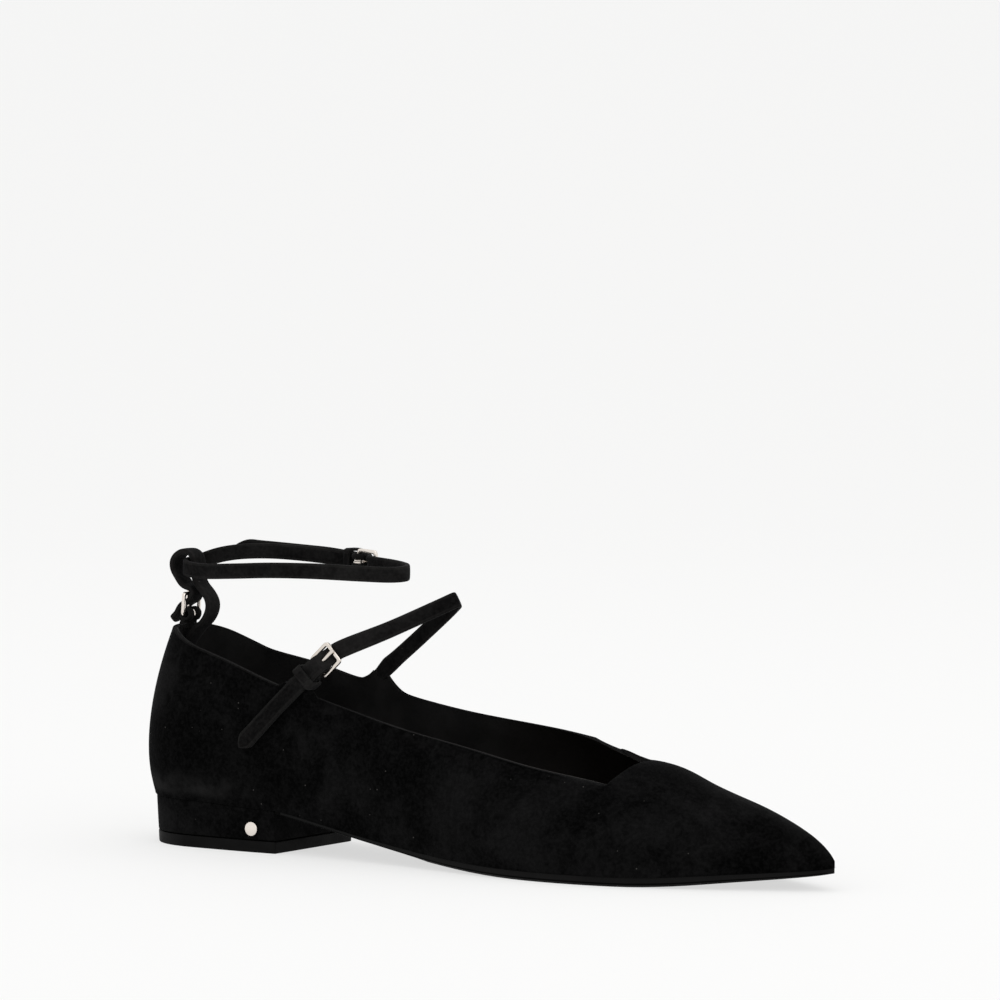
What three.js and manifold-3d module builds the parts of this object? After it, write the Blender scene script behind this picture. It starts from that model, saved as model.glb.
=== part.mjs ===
import * as THREE from 'three';
import { mergeVertices } from 'three/addons/utils/BufferGeometryUtils.js';
import Module from 'manifold-3d';

// A pointed flat shoe for the right foot, with an instep strap and an ankle strap.
// Millimetres. x runs from the back of the heel to the toe tip, y to the inner side of
// the foot, z up from the floor. Sections, bands and buckles are worked out from these sizes.

// Last and upper
const length = 260;
const heelWidth = 54;
const heelCentre = 28;
const ballWidth = 75;
const heelHeight = 16.8;
const toeSpring = 5.7;
const backTop = 71.6;
const vampHeight = 37.4;
const vampLength = 68.4;
const wall = 1.8;
const toePuff = 5;
const gap = 0.3;

// Throat corners: how far behind the point of the throat, and how far off the centre line
const outerCorner = { back: 4.2, half: 21 };
const innerCorner = { back: 20, half: 14 };

// Roots of the instep strap on the topline: place, half width on top, flare and rise
const outerRoot = { along: 69.5, half: 5.4, flare: 3.2, rise: 1.9 };
const innerRoot = { along: 74.4, half: 2.8, flare: 9, rise: 5 };

// Sole, insole and heel
const soleThickness = 3.4;
const soleInset = 0.4;
const soleBevel = 0.8;
const insoleThickness = 2.2;
const insoleEnd = 244;
const heelLength = 61;
const blockInset = 0.3;
const blockTaper = 0.9;
const liftThickness = 4;
const stud = { along: 52.2, height: 8, diameter: 4.8, thickness: 0.9 };

// Straps, the keepers on them and the clearance between pieces that pass each other
const strap = { width: 5, thickness: 1.7 };
const keeper = { wall: 1, length: 3.4 };
const fit = 0.3;

// Instep strap: its width, where it folds over the foot, how far its arms bow and where its tip lies
const instepWidth = 5.6;
const instepFold = { along: 117, height: 86, turn: 3, bow: -0.3 };
const instepTip = { along: 49.6, height: 35.5 };

// Width of the instep strap along its way, as shares of its usual width
const instepShape = [
  { at: 0, wide: 1.2 },
  { at: 0.05, wide: 1 },
  { at: 0.12, wide: 0.9 },
  { at: 0.5, wide: 0.91 },
  { at: 0.64, wide: 1 },
];

// Tab of the instep buckle, from the root on the topline to the bar of the buckle
const instepTab = { ahead: 7, in: 1.4, up: 6.6, layer: 1.2 };

// Ankle strap: its ends along the shoe, half width, height over the floor and rise of its far side
const ankle = { back: 8.2, front: 96.6, half: 18.5, height: 93.6, lift: 4 };

// Loop at the heel that carries the ankle strap: width, rise over the topline, furthest place ahead.
// Its buckle is held by a tab on the back of the heel: the place of its fixed bar, how far it leans
// forward in radians, and how much wider the tab is at its root.
const heelLoop = { width: 6.6, rise: 26.6, ahead: 18.6 };
const heelTab = { ahead: 9.4, height: 4.7, lean: 0.26, flare: 0.2 };

// Buckles: opening across and along the strap, thickness of the bars and tilt in radians
const instepBuckle = { width: 6.2, length: 6.9, bar: 1.3, tilt: 0.16 };
const ankleBuckle = { width: 6.2, length: 6.6, bar: 1.3, tilt: 0.16 };
const rearBuckle = { width: 7.8, length: 5.8, bar: 1.2, tilt: 0.2 };
const prong = { width: 1.1, thickness: 1 };

// Colours and finishes
const finish = {
  suede: { color: 0x0d0d0e, roughness: 0.95, metalness: 0 },
  lining: { color: 0x171514, roughness: 0.7, metalness: 0 },
  sole: { color: 0x111112, roughness: 0.55, metalness: 0 },
  rubber: { color: 0x1b1b1c, roughness: 0.8, metalness: 0 },
  metal: { color: 0xd8cfc4, roughness: 0.22, metalness: 1 },
};

// Half widths of the last ahead of the heel, as shares of heel width and ball width
const outline = [
  { at: 0.108, heel: 0.5, outer: 0, inner: 0 },
  { at: 0.17, heel: 0.49, outer: 0.01, inner: 0.0 },
  { at: 0.235, heel: 0.4, outer: 0.065, inner: 0.045 },
  { at: 0.35, heel: 0.2, outer: 0.235, inner: 0.155 },
  { at: 0.46, heel: 0.1, outer: 0.355, inner: 0.245 },
  { at: 0.575, heel: 0.02, outer: 0.475, inner: 0.395 },
  { at: 0.655, heel: 0, outer: 0.508, inner: 0.48 },
  { at: 0.71, heel: 0, outer: 0.493, inner: 0.49 },
  { at: 0.77, heel: 0, outer: 0.443, inner: 0.457 },
  { at: 0.83, heel: 0, outer: 0.36, inner: 0.385 },
  { at: 0.885, heel: 0, outer: 0.264, inner: 0.29 },
  { at: 0.94, heel: 0, outer: 0.157, inner: 0.173 },
  { at: 0.98, heel: 0, outer: 0.073, inner: 0.079 },
  { at: 0.994, heel: 0, outer: 0.036, inner: 0.038 },
  { at: 1, heel: 0, outer: 0, inner: 0 },
];

// Lower edge of the upper: shares of heel height, toe spring and sole thickness
const feather = [
  { at: 0, seat: 1, spring: 0, sole: 0 },
  { at: 0.12, seat: 0.965, spring: 0, sole: 0 },
  { at: 0.2, seat: 0.86, spring: 0, sole: 0.2 },
  { at: 0.24, seat: 0.78, spring: 0, sole: 0.45 },
  { at: 0.33, seat: 0.53, spring: 0, sole: 0.5 },
  { at: 0.42, seat: 0.3, spring: 0, sole: 0.6 },
  { at: 0.51, seat: 0.1, spring: 0, sole: 0.85 },
  { at: 0.58, seat: 0.02, spring: 0, sole: 0.95 },
  { at: 0.625, seat: 0, spring: 0, sole: 1 },
  { at: 0.77, seat: 0, spring: 0, sole: 1 },
  { at: 0.82, seat: 0, spring: 0.1, sole: 1 },
  { at: 0.885, seat: 0, spring: 0.39, sole: 0.88 },
  { at: 0.945, seat: 0, spring: 0.66, sole: 0.72 },
  { at: 0.985, seat: 0, spring: 0.87, sole: 0.6 },
  { at: 1, seat: 0, spring: 1, sole: 0.55 },
];

// Top of the last over its centre line: shares of vamp height and of the height at the back
const ridge = [
  { at: 0, vamp: 0, back: 1.47 },
  { at: 0.2, vamp: 0, back: 1.47 },
  { at: 0.35, vamp: 0.3, back: 1.08 },
  { at: 0.5, vamp: 0.6, back: 0.56 },
  { at: 0.6, vamp: 0.82, back: 0.265 },
  { at: 0.68, vamp: 0.95, back: 0.072 },
  { at: 0.737, vamp: 1, back: 0 },
  { at: 0.758, vamp: 0.985, back: 0 },
  { at: 0.8, vamp: 0.875, back: 0 },
  { at: 0.842, vamp: 0.775, back: 0 },
  { at: 0.882, vamp: 0.695, back: 0 },
  { at: 0.936, vamp: 0.555, back: 0 },
  { at: 0.976, vamp: 0.41, back: 0 },
  { at: 0.992, vamp: 0.315, back: 0 },
  { at: 1, vamp: 0.26, back: 0 },
];

// Cross section: how far it bulges and tucks in, how wide its crown is, where it rises
const form = [
  { at: 0, bulge: 0.32, tuck: 0.06, crown: 0.34, rise: 0.34 },
  { at: 0.2, bulge: 0.18, tuck: 0.07, crown: 0.58, rise: 0.35 },
  { at: 0.4, bulge: 0.12, tuck: 0.08, crown: 0.62, rise: 0.38 },
  { at: 0.6, bulge: 0.08, tuck: 0.06, crown: 0.6, rise: 0.4 },
  { at: 0.8, bulge: 0.08, tuck: 0.04, crown: 0.5, rise: 0.45 },
  { at: 1, bulge: 0.1, tuck: 0.03, crown: 0.5, rise: 0.5 },
];

// Height of the topline behind the throat corners, as shares of its height at the back
const topline = [
  { at: 0, outer: 1.016, inner: 1.016 },
  { at: 0.035, outer: 1, inner: 0.978 },
  { at: 0.075, outer: 0.96, inner: 0.918 },
  { at: 0.108, outer: 0.93, inner: 0.88 },
  { at: 0.17, outer: 0.865, inner: 0.84 },
  { at: 0.235, outer: 0.785, inner: 0.785 },
  { at: 0.31, outer: 0.725, inner: 0.725 },
  { at: 0.42, outer: 0.63, inner: 0.66 },
  { at: 0.54, outer: 0.55, inner: 0.615 },
  { at: 0.62, outer: 0.49, inner: 0.581 },
];

// Ankle strap from its buckle round the heel to the fold at the front and back to the buckle:
// shares of the way from back to front, of the half width and of the rise
const ankleRound = [
  { along: 0.4, out: 0.98, rise: 0.9 },
  { along: 0.24, out: 0.86, rise: 1.0 },
  { along: 0.13, out: 0.62, rise: 0.85 },
  { along: 0.065, out: 0.4, rise: 0.5 },
  { along: 0.03, out: 0.235, rise: 0.1 },
  { along: 0.004, out: 0.12, rise: -0.15 },
  { along: 0, out: 0, rise: -0.2 },
  { along: 0.004, out: -0.12, rise: -0.25 },
  { along: 0.03, out: -0.235, rise: -0.4 },
  { along: 0.075, out: -0.32, rise: -0.5 },
  { along: 0.15, out: -0.44, rise: -0.5 },
  { along: 0.32, out: -0.72, rise: -0.25 },
  { along: 0.52, out: -0.9, rise: 0.05 },
  { along: 0.725, out: -0.86, rise: 0.15 },
  { along: 0.876, out: -0.62, rise: 0.05 },
  { along: 0.973, out: -0.27, rise: -0.05 },
  { along: 1, out: -0.03, rise: 0 },
  { along: 0.978, out: 0.22, rise: 0.1 },
  { along: 0.89, out: 0.5, rise: 0.25 },
];

// Free end of the ankle strap, outside its own first part
const anklePull = [
  { along: 0.5, out: 1.09, rise: 0.85 },
  { along: 0.4, out: 1.11, rise: 0.95 },
  { along: 0.24, out: 1.0, rise: 1.15 },
  { along: 0.15, out: 0.93, rise: 1.25 },
  { along: 0.1, out: 0.88, rise: 1.35 },
];
const ankleBar = { along: 0.66, out: 0.93, rise: 0.5 };

// Heel loop from the inside of the heel over the ankle strap to its buckle: shares of its
// furthest place ahead and of its rise over the topline
const heelRound = [
  { ahead: 0.69, up: -0.02 },
  { ahead: 0.9, up: 0.12 },
  { ahead: 0.99, up: 0.25 },
  { ahead: 0.985, up: 0.35 },
  { ahead: 0.9, up: 0.45 },
  { ahead: 0.74, up: 0.57 },
  { ahead: 0.67, up: 0.69 },
  { ahead: 0.67, up: 0.83 },
  { ahead: 0.625, up: 0.925 },
  { ahead: 0.48, up: 0.98 },
  { ahead: 0.32, up: 0.95 },
  { ahead: 0.205, up: 0.86 },
  { ahead: 0.2, up: 0.76 },
  { ahead: 0.3, up: 0.64 },
  { ahead: 0.43, up: 0.54 },
];
const heelTail = [
  { ahead: 0.245, up: 0.155 },
  { ahead: 0.14, up: 0.078 },
];

// Reads a column of a table at a share of the length, smoothly and without overshoot
function read(rows, column, at) {
  const last = rows.length - 1;
  if (at <= rows[0].at) return rows[0][column];
  if (at >= rows[last].at) return rows[last][column];
  const i = rows.findIndex((row) => row.at > at) - 1;
  const slope = (k) => (rows[k + 1][column] - rows[k][column]) / (rows[k + 1].at - rows[k].at);
  const tangent = (k) => {
    if (k === 0) return slope(0);
    if (k === last) return slope(last - 1);
    const before = slope(k - 1);
    const after = slope(k);
    return before * after <= 0 ? 0 : (2 * before * after) / (before + after);
  };
  const span = rows[i + 1].at - rows[i].at;
  const t = (at - rows[i].at) / span;
  const a = rows[i][column];
  const b = rows[i + 1][column];
  const rise = (1 - t) ** 2 * t * span * tangent(i) - t ** 2 * (1 - t) * span * tangent(i + 1);
  return a + (b - a) * t * t * (3 - 2 * t) + rise;
}

// Heights over the floor at a place along the shoe
function featherHeight(x) {
  const at = x / length;
  const seat = read(feather, 'seat', at) * heelHeight + read(feather, 'spring', at) * toeSpring;
  return seat + read(feather, 'sole', at) * soleThickness;
}

function soleBottom(x) {
  return featherHeight(x) - read(feather, 'sole', x / length) * soleThickness;
}

function ridgeHeight(x) {
  const at = x / length;
  return read(ridge, 'vamp', at) * vampHeight + read(ridge, 'back', at) * backTop;
}

// Ribs round the last. Each has a foot on the centre line, a way out from there and a reach.
// side is 'outer' or 'inner', station is where its outline lies along the shoe.
const throat = length - vampLength;

function sideRib(x, side) {
  const way = side === 'outer' ? -1 : 1;
  const at = x / length;
  const reach = read(outline, 'heel', at) * heelWidth + read(outline, side, at) * ballWidth;
  return { x, y: 0, wayX: 0, wayY: way, reach, station: x, side };
}

function heelRib(angle, side) {
  const roundness = 2.2;
  const back = Math.cos(angle);
  const out = Math.sin(angle) * (side === 'outer' ? -1 : 1);
  const long = Math.abs(back) / heelCentre;
  const wide = Math.abs(out) / (heelWidth / 2);
  const reach = (long ** roundness + wide ** roundness) ** (-1 / roundness);
  return { x: heelCentre, y: 0, wayX: -back, wayY: out, reach, station: heelCentre - back * reach, side };
}

const heelFan = 9;
const shankSteps = 4;
const flareSteps = 4;
const quarterSteps = 8;
const cornerSteps = 2;
const vampSteps = 13;

function rootOf(side) {
  return side === 'outer' ? outerRoot : innerRoot;
}

function range(from, to, steps) {
  return Array.from({ length: steps }, (_, i) => from + ((to - from) * i) / steps);
}

// Stations from the heel centre to the toe tip, denser at the strap root of that side
function sideStations(side) {
  const root = rootOf(side);
  const spread = root.half + root.flare;
  const inner = throat - innerCorner.back;
  const outer = throat - outerCorner.back;
  const vamp = range(0, 1, vampSteps).map((t) => throat + vampLength * Math.sin((t * Math.PI) / 2));
  const flare = range(1, 0, flareSteps).map((t) => root.half + root.flare * t * t);
  return [
    ...range(heelCentre, root.along - spread, shankSteps),
    ...flare.map((d) => root.along - d),
    root.along - root.half,
    root.along,
    root.along + root.half,
    ...flare.reverse().map((d) => root.along + d),
    ...range(root.along + spread, inner, quarterSteps).slice(1),
    ...range(inner, outer, cornerSteps),
    ...range(outer, throat, cornerSteps),
    ...vamp,
    length,
  ];
}

// From the toe tip back along the outer side, round the heel and forward along the inner side
function allRibs() {
  const outer = sideStations('outer').map((x) => sideRib(x, 'outer')).reverse();
  const turn = range(Math.PI / 2, 0, heelFan).slice(1);
  const fan = turn.map((a) => heelRib(a, 'outer'));
  const back = heelRib(0, 'outer');
  const far = turn.map((a) => heelRib(a, 'inner')).reverse();
  return [...outer, ...fan, back, ...far, ...sideStations('inner').map((x) => sideRib(x, 'inner'))];
}

// How far the inner skin lies behind the outer one, which makes the toe thick
function puff(station) {
  return toePuff * (Math.max(0, station - throat) / vampLength) ** 2;
}

// A point of a rib's section: t is 0 at the feather edge and 1 on the centre line on top
function sectionPoint(rib, t, inset) {
  const at = rib.station / length;
  const low = featherHeight(rib.station);
  const rise = ridgeHeight(rib.station) - low;
  const height = inset > 0 ? Math.max(rise - inset, rise * 0.3) : rise;
  const thin = inset * Math.min(1, rib.reach / (3 * wall));
  const tuck = read(form, 'tuck', at);
  const out = [
    rib.reach * (1 - tuck) - thin,
    rib.reach * (1 + read(form, 'bulge', at)) - thin,
    rib.reach * read(form, 'crown', at) - thin * 0.5,
    0,
  ];
  const up = [0, read(form, 'rise', at) * height, height, height];
  const weights = [(1 - t) ** 3, 3 * (1 - t) ** 2 * t, 3 * (1 - t) * t * t, t ** 3];
  const mix = (values) => values.reduce((sum, value, i) => sum + value * weights[i], 0);
  const reach = mix(out);
  return {
    reach,
    x: rib.x + rib.wayX * reach - (inset > 0 ? puff(rib.station) : 0),
    y: rib.y + rib.wayY * reach,
    z: low + mix(up),
  };
}

// Finds t between 0 and 1 where a falling or rising measure of the section meets a value
function solve(measure, value) {
  let low = 0;
  let high = 1;
  const rising = measure(1) > measure(0);
  for (let i = 0; i < 40; i += 1) {
    const middle = (low + high) / 2;
    if (measure(middle) < value === rising) low = middle;
    else high = middle;
  }
  return (low + high) / 2;
}

function cornerStation(side) {
  return throat - (side === 'outer' ? outerCorner : innerCorner).back;
}

function cornerHalf(side) {
  return (side === 'outer' ? outerCorner : innerCorner).half;
}

// Height of the topline of one side at a place behind its throat corner
function toplineHeight(x, side) {
  const corner = sideRib(cornerStation(side), side);
  const t = solve((s) => sectionPoint(corner, s, 0).reach, cornerHalf(side));
  const last = { at: corner.station / length, [side]: sectionPoint(corner, t, 0).z / backTop };
  const rows = topline.map((row) => ({ at: row.at, [side]: row[side] })).filter((row) => row.at < last.at);
  const root = rootOf(side);
  const off = Math.max(0, Math.abs(x - root.along) - root.half) / root.flare;
  return read([...rows, last], side, x / length) * backTop + root.rise * Math.max(0, 1 - off) ** 2;
}

// Where a rib's section stops: at the topline, at the cut of the throat or on the ridge
function ribTop(rib, inset) {
  if (rib.station >= throat - 1e-6) return 1;
  const corner = cornerStation(rib.side);
  if (rib.station > corner) {
    const open = (cornerHalf(rib.side) * (throat - rib.station)) / (throat - corner);
    return solve((t) => sectionPoint(rib, t, inset).reach, open);
  }
  return solve((t) => sectionPoint(rib, t, inset).z, toplineHeight(rib.station, rib.side));
}

// Meshes from rows of points
class Skin {
  constructor() {
    this.points = [];
    this.faces = [];
  }

  row(points) {
    return points.map((p) => this.points.push(p.x, p.y, p.z) / 3 - 1);
  }

  at(k) {
    return new THREE.Vector3().fromArray(this.points, 3 * k);
  }

  quad(a, b, c, d) {
    this.faces.push(a, b, c, a, c, d);
  }

  strip(from, to) {
    for (let i = 0; i + 1 < from.length; i += 1) this.quad(from[i], from[i + 1], to[i + 1], to[i]);
  }

  // Joins closed rows one after another
  tube(rows) {
    for (let i = 0; i + 1 < rows.length; i += 1) {
      this.strip([...rows[i], rows[i][0]], [...rows[i + 1], rows[i + 1][0]]);
    }
  }

  geometry() {
    const geometry = new THREE.BufferGeometry();
    geometry.setAttribute('position', new THREE.Float32BufferAttribute(this.points, 3));
    geometry.setIndex(this.faces);
    return tidy(geometry);
  }
}

// Merges shared vertices and drops triangles that have no area, with faces turned outwards
function tidy(source) {
  const plain = source.clone();
  Object.keys(plain.attributes).filter((name) => name !== 'position').forEach((name) => plain.deleteAttribute(name));
  const merged = mergeVertices(plain, 1e-4);
  const index = Array.from(merged.index.array);
  const kept = [];
  for (let i = 0; i < index.length; i += 3) {
    const [a, b, c] = index.slice(i, i + 3);
    if (a !== b && b !== c && c !== a) kept.push(a, b, c);
  }
  const at = (i) => new THREE.Vector3().fromBufferAttribute(merged.attributes.position, i);
  let volume = 0;
  for (let i = 0; i < kept.length; i += 3) {
    volume += at(kept[i]).dot(at(kept[i + 1]).cross(at(kept[i + 2])));
  }
  if (volume < 0) {
    for (let i = 0; i < kept.length; i += 3) [kept[i], kept[i + 1]] = [kept[i + 1], kept[i]];
  }
  merged.setIndex(kept);
  return merged;
}

// Joins and cuts of closed solids
const wasm = await Module();
wasm.setup();

function solid(geometry) {
  const clean = tidy(geometry);
  return new wasm.Manifold(new wasm.Mesh({
    numProp: 3,
    vertProperties: new Float32Array(clean.attributes.position.array),
    triVerts: new Uint32Array(clean.index.array),
  }));
}

function fromSolid(body) {
  const mesh = body.getMesh();
  const geometry = new THREE.BufferGeometry();
  geometry.setAttribute('position', new THREE.Float32BufferAttribute(mesh.vertProperties, 3));
  geometry.setIndex(Array.from(mesh.triVerts));
  return tidy(geometry);
}

const shoe = new THREE.Group();

function add(name, geometry, look) {
  const closed = tidy(geometry);
  closed.computeVertexNormals();
  const mesh = new THREE.Mesh(closed, new THREE.MeshStandardMaterial(finish[look]));
  mesh.name = name;
  shoe.add(mesh);
}

// Upper wall: outer and inner skins, closed along the feather edge and the topline
const sectionSteps = 8;

function wallGeometry() {
  const skin = new Skin();
  const ribs = allRibs();
  const rows = (inset) => ribs.map((rib) => {
    const top = ribTop(rib, inset);
    return skin.row(range(0, top, sectionSteps).concat(top).map((t) => sectionPoint(rib, t, inset)));
  });
  const outside = rows(0);
  const inside = rows(wall);
  for (let i = 0; i + 1 < ribs.length; i += 1) {
    skin.strip(outside[i], outside[i + 1]);
    skin.strip(inside[i + 1], inside[i]);
    skin.quad(inside[i][0], outside[i][0], outside[i + 1][0], inside[i + 1][0]);
    const open = Math.max(ribs[i].station, ribs[i + 1].station) <= throat + 1e-6;
    if (open) {
      const k = sectionSteps;
      skin.quad(outside[i][k], inside[i][k], inside[i + 1][k], outside[i + 1][k]);
    }
  }
  return skin.geometry();
}

// Flat pieces: closed layers from the spine out over the top, round the rim and back below.
// Each layer gives the reach of a rib and the height over the floor at a place.
function plateGeometry(ribs, layers) {
  const skin = new Skin();
  const place = (rib, reach, height) => {
    const x = rib.x + rib.wayX * reach;
    return { x, y: rib.y + rib.wayY * reach, z: height(x) };
  };
  skin.tube(layers.map(({ reach, height }) => skin.row(ribs.map((rib) => place(rib, reach(rib), height)))));
  return skin.geometry();
}

function featherReach(rib) {
  return rib.reach * (1 - read(form, 'tuck', rib.station / length));
}

// The same reach less an inset, which fades where the shoe narrows to its tip
function inset(rib, amount) {
  return Math.max(0, featherReach(rib) - amount * Math.min(1, rib.reach / (4 * amount)));
}

// A closed round of ribs between two stations, or round the heel if it starts there
function plateRibs(from, to, steps) {
  const turn = from > heelCentre ? [] : range(Math.PI / 2, 0, heelFan).slice(1);
  const start = Math.max(from, heelCentre);
  const along = range(0, 1, steps).concat(1).map((t) => start + (to - start) * Math.sin((t * Math.PI) / 2));
  const heel = turn.map((angle) => heelRib(angle, 'outer'));
  const back = turn.length > 0 ? [heelRib(0, 'outer')] : [];
  const far = turn.map((angle) => heelRib(angle, 'inner')).reverse();
  const outer = along.map((x) => sideRib(x, 'outer')).reverse();
  return [...outer, ...heel, ...back, ...far, ...along.map((x) => sideRib(x, 'inner'))];
}

// Outsole: from the breast of the heel to the toe, with a bevelled lower edge
function outsoleGeometry() {
  const rim = (rib) => inset(rib, soleInset);
  const foot = (rib) => inset(rib, soleInset + soleBevel);
  const top = (x) => featherHeight(x) - gap;
  const edge = (x) => soleBottom(x) + soleBevel * read(feather, 'sole', x / length);
  return plateGeometry(plateRibs(heelLength + gap, length, 24), [
    { reach: () => 0, height: top },
    { reach: (rib) => rim(rib) * 0.6, height: top },
    { reach: rim, height: top },
    { reach: rim, height: edge },
    { reach: foot, height: soleBottom },
    { reach: (rib) => foot(rib) * 0.6, height: soleBottom },
    { reach: () => 0, height: soleBottom },
  ]);
}

// Insole: inside the wall, on the outsole and the heel
function insoleGeometry() {
  const shell = (rib) => sideRib(rib.station + puff(rib.station), rib.side);
  const clear = wall + 2 * gap;
  const rim = (rib) => Math.max(0, featherReach(rib.station > throat ? shell(rib) : rib) - clear);
  const under = (x) => featherHeight(x) + gap / 2;
  const top = (x) => under(x) + insoleThickness;
  return plateGeometry(plateRibs(0, insoleEnd, 18), [
    { reach: () => 0, height: top },
    { reach: rim, height: top },
    { reach: rim, height: under },
    { reach: () => 0, height: under },
  ]);
}

// Heel: a covered block under the seat with a straight breast, and its top lift
function blockReach(drop) {
  return (rib) => inset(rib, blockInset + blockTaper * drop);
}

function blockGeometry() {
  const top = (x) => featherHeight(x) - gap;
  const bottom = () => liftThickness + gap;
  const low = blockReach(1 - liftThickness / heelHeight);
  return plateGeometry(plateRibs(0, heelLength, 5), [
    { reach: () => 0, height: top },
    { reach: (rib) => blockReach(0)(rib) * 0.6, height: top },
    { reach: blockReach(0), height: top },
    { reach: low, height: bottom },
    { reach: () => 0, height: bottom },
  ]);
}

function liftGeometry() {
  const high = blockReach(1 - liftThickness / heelHeight);
  return plateGeometry(plateRibs(0, heelLength, 5), [
    { reach: () => 0, height: () => liftThickness },
    { reach: high, height: () => liftThickness },
    { reach: blockReach(1), height: () => 0 },
    { reach: () => 0, height: () => 0 },
  ]);
}

// Places a geometry made along x, across y and up z into the frame of a piece
function place(geometry, frame) {
  const matrix = new THREE.Matrix4().makeBasis(frame.along, frame.across, frame.out);
  matrix.setPosition(frame.origin);
  return geometry.clone().applyMatrix4(matrix);
}

// A frame from an origin, a direction along and a direction across made square to it
function frameAt(origin, along, across) {
  const x = along.clone().normalize();
  const y = across.clone().addScaledVector(x, -across.dot(x)).normalize();
  return { origin, along: x, across: y, out: new THREE.Vector3().crossVectors(x, y) };
}

function offset(frame, along, across, out) {
  return frame.origin.clone()
    .addScaledVector(frame.along, along)
    .addScaledVector(frame.across, across)
    .addScaledVector(frame.out, out);
}

// Rivet-like stud on the outer side of the heel block, set square to the side
function studGeometry() {
  const side = blockReach(1 - stud.height / heelHeight);
  const rim = (x) => new THREE.Vector3(x, -side(sideRib(x, 'outer')), stud.height);
  const radius = stud.diameter / 2;
  const along = rim(stud.along + radius).sub(rim(stud.along - radius));
  const frame = frameAt(rim(stud.along), along, new THREE.Vector3(0, 0, -1));
  const base = gap + 0.1;
  const profile = [[0, base], [radius, base], [radius, base + stud.thickness * 0.5],
    [radius * 0.8, base + stud.thickness * 0.85], [0, base + stud.thickness]];
  const head = new THREE.LatheGeometry(profile.map(([r, h]) => new THREE.Vector2(r, h)), 20);
  const towards = frame.out.y < 0 ? 1 : -1;
  return place(head.rotateX((towards * Math.PI) / 2), frame);
}

// A flat band along a smooth route. ways holds the direction of its width, one for all of it or
// one at each point of the route. scale narrows or widens it along the way.
function bandGeometry(route, ways, width, thickness, steps, scale = () => 1) {
  const curve = new THREE.CatmullRomCurve3(route, false, 'centripetal');
  const across = (t) => {
    const place = curve.getUtoTmapping(t) * (route.length - 1);
    const i = Math.min(Math.floor(place), route.length - 2);
    return ways.length > 1 ? ways[i].clone().lerp(ways[i + 1], place - i) : ways[0];
  };
  const skin = new Skin();
  const edge = Math.min(0.45, thickness * 0.3);
  const halfThick = thickness / 2;
  const section = (half) => [
    [half, halfThick - edge], [half - edge, halfThick], [edge - half, halfThick], [-half, halfThick - edge],
    [-half, edge - halfThick], [edge - half, -halfThick], [half - edge, -halfThick], [half, edge - halfThick],
  ];
  const rows = Array.from({ length: steps + 1 }, (_, i) => {
    const t = i / steps;
    const frame = frameAt(curve.getPointAt(t), curve.getTangentAt(t), across(t));
    return skin.row(section((width / 2) * scale(t)).map(([w, h]) => offset(frame, 0, w, h)));
  });
  const end = (row) => Array(8).fill(skin.row([middle(row.map((k) => skin.at(k)))])[0]);
  skin.tube([end(rows[0]), ...rows, end(rows[steps])]);
  return skin.geometry();
}

function middle(points) {
  return points.reduce((sum, p) => sum.add(p), new THREE.Vector3()).divideScalar(points.length);
}

// Narrows a band to a rounded tip over its last share
function tip(t, share) {
  const past = Math.max(0, (t - 1 + share) / share);
  return Math.sqrt(Math.max(0.02, 1 - past * past * 0.96));
}

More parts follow.
